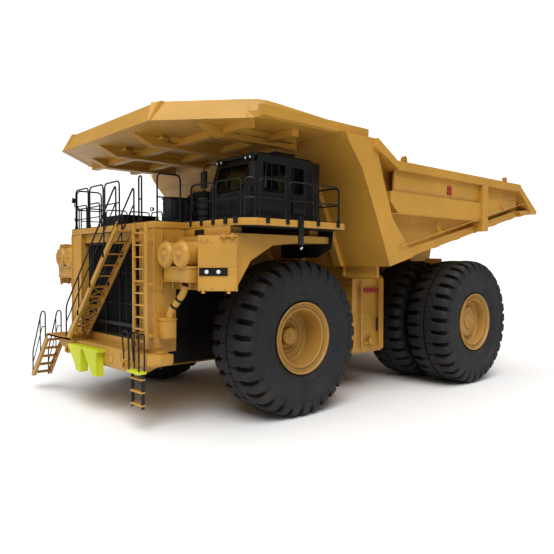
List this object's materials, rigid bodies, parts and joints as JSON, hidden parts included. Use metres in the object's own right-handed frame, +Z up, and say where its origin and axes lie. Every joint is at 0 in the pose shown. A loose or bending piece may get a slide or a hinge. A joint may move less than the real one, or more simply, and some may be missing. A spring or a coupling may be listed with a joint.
{
  "type": "mining dump truck",
  "caption": "Rigid mining dump truck with a tipping load bed and canopy, twin rear wheels, steered front wheels, side cab, front stairway and handrails.",
  "frame": {"origin": "on the ground under the middle of the bounding box", "axes": "+Z up, -Y forwards, +X to the operator's side"},
  "size_m": [9.755, 15.08, 7.7],
  "materials": {
    "construction_yellow": "semi-gloss paint",
    "black_paint": "satin paint",
    "tyre_rubber": "matt",
    "polished_steel": "polished",
    "cab_glass": "clear tinted",
    "seat_cloth": "woven",
    "lime_paint": "semi-gloss paint",
    "grey_paint": "satin paint"
  },
  "bodies": {
    "root": {"main_frame": "construction_yellow", "front_bumper": "construction_yellow", "engine_block": "construction_yellow", "radiator": "black_paint", "radiator_guard": "construction_yellow", "deck": "construction_yellow", "fender_left": "construction_yellow", "fender_right": "construction_yellow", "cab_shell": "black_paint", "windscreen": "cab_glass", "cab_inner_glass": "cab_glass", "cab_rear_glass": "cab_glass", "cab_side_glass": "cab_glass", "operator_seat": "seat_cloth", "dashboard": "black_paint", "air_cleaner_left": "construction_yellow", "air_cleaner_right": "construction_yellow", "upper_stairway": "construction_yellow", "front_ladder": "construction_yellow", "hanging_ladder": "black_paint", "wheel_chocks": "lime_paint", "fuel_tank": "construction_yellow", "hydraulic_tank": "construction_yellow", "front_strut_left": "construction_yellow", "front_strut_right": "construction_yellow", "rear_axle_housing": "construction_yellow", "deck_equipment": "grey_paint", "handrail_front": "black_paint", "handrail_gate": "black_paint", "handrail_left": "black_paint", "handrail_right": "black_paint"},
    "dump_body": {"body_floor": "construction_yellow", "body_side_left": "construction_yellow", "body_side_right": "construction_yellow", "body_front_wall": "construction_yellow", "body_canopy": "construction_yellow"},
    "spindle_left": {"spindle_left": "construction_yellow"},
    "spindle_right": {"spindle_right": "construction_yellow"},
    "tie_rod": {"tie_rod": "black_paint"},
    "front_wheel_left": {"front_tyre_left": "tyre_rubber", "front_rim_left": "construction_yellow"},
    "front_wheel_right": {"front_tyre_right": "tyre_rubber", "front_rim_right": "construction_yellow"},
    "rear_wheels_left": {"rear_tyre_left_outer": "tyre_rubber", "rear_tyre_left_inner": "tyre_rubber", "rear_hub_left": "construction_yellow"},
    "rear_wheels_right": {"rear_tyre_right_outer": "tyre_rubber", "rear_tyre_right_inner": "tyre_rubber", "rear_hub_right": "construction_yellow"},
    "hoist_barrel_left": {"hoist_barrel_left": "construction_yellow"},
    "hoist_barrel_right": {"hoist_barrel_right": "construction_yellow"},
    "hoist_rod_left": {"hoist_rod_left": "polished_steel"},
    "hoist_rod_right": {"hoist_rod_right": "polished_steel"},
    "cab_door": {"cab_door": "black_paint", "cab_door_glass": "cab_glass"},
    "lower_stairway": {"lower_stairway": "construction_yellow"}
  },
  "joints": [
    {"name": "bed_tilt", "type": "hinge", "parent": "root", "child": "dump_body", "pos_m": [0, 5.395, 3.25], "axis": [-1, 0, 0], "range_deg": [0, 45]},
    {"name": "left_steer", "type": "hinge", "parent": "root", "child": "spindle_left", "pos_m": [2.05, -3.6, 2.014], "axis": [0, 0, 1], "range_deg": [-36, 36]},
    {"name": "right_steer", "type": "hinge", "parent": "root", "child": "spindle_right", "pos_m": [-2.05, -3.6, 2.014], "axis": [0, 0, 1], "range_deg": [-36, 36]},
    {"name": "tie_rod_pivot", "type": "hinge", "parent": "spindle_left", "child": "tie_rod", "pos_m": [2.05, -2.65, 1.0787], "axis": [0, 0, 1], "range_deg": [-36, 36]},
    {"name": "front_left_spin", "type": "hinge", "parent": "spindle_left", "child": "front_wheel_left", "pos_m": [3.267, -3.6, 2.014], "axis": [1, 0, 0], "continuous": true},
    {"name": "front_right_spin", "type": "hinge", "parent": "spindle_right", "child": "front_wheel_right", "pos_m": [-3.267, -3.6, 2.014], "axis": [1, 0, 0], "continuous": true},
    {"name": "rear_left_spin", "type": "hinge", "parent": "root", "child": "rear_wheels_left", "pos_m": [3.117, 3.595, 2.014], "axis": [1, 0, 0], "continuous": true},
    {"name": "rear_right_spin", "type": "hinge", "parent": "root", "child": "rear_wheels_right", "pos_m": [-3.117, 3.595, 2.014], "axis": [1, 0, 0], "continuous": true},
    {"name": "hoist_swing_left", "type": "hinge", "parent": "root", "child": "hoist_barrel_left", "pos_m": [1.3, 0.945, 1.714], "axis": [1, 0, 0], "range_deg": [-1, 2]},
    {"name": "hoist_slide_left", "type": "slide", "parent": "hoist_barrel_left", "child": "hoist_rod_left", "axis": [0, 0.6685, 0.7437], "range_m": [0, 1.93]},
    {"name": "hoist_swing_right", "type": "hinge", "parent": "root", "child": "hoist_barrel_right", "pos_m": [-1.3, 0.945, 1.714], "axis": [1, 0, 0], "range_deg": [-1, 2]},
    {"name": "hoist_slide_right", "type": "slide", "parent": "hoist_barrel_right", "child": "hoist_rod_right", "axis": [0, 0.6685, 0.7437], "range_m": [0, 1.93]},
    {"name": "cab_door_swing", "type": "hinge", "parent": "root", "child": "cab_door", "pos_m": [4.0153, -3.6, 4.93], "axis": [0, 0, 1], "range_deg": [0, 80]},
    {"name": "stair_fold", "type": "hinge", "parent": "root", "child": "lower_stairway", "pos_m": [-2.9803, -7.54, 1.83], "axis": [0, 1, 0], "range_deg": [0, 40]}
  ],
  "couplings": [
    {"joint": "right_steer", "follows": "left_steer", "ratio": 1},
    {"joint": "tie_rod_pivot", "follows": "left_steer", "ratio": -1},
    {"joint": "hoist_swing_left", "follows": "bed_tilt", "ratio": 0.017655},
    {"joint": "hoist_slide_left", "follows": "bed_tilt", "m_per_rad": 2.4447},
    {"joint": "hoist_swing_right", "follows": "bed_tilt", "ratio": 0.017655},
    {"joint": "hoist_slide_right", "follows": "bed_tilt", "m_per_rad": 2.4447}
  ]
}
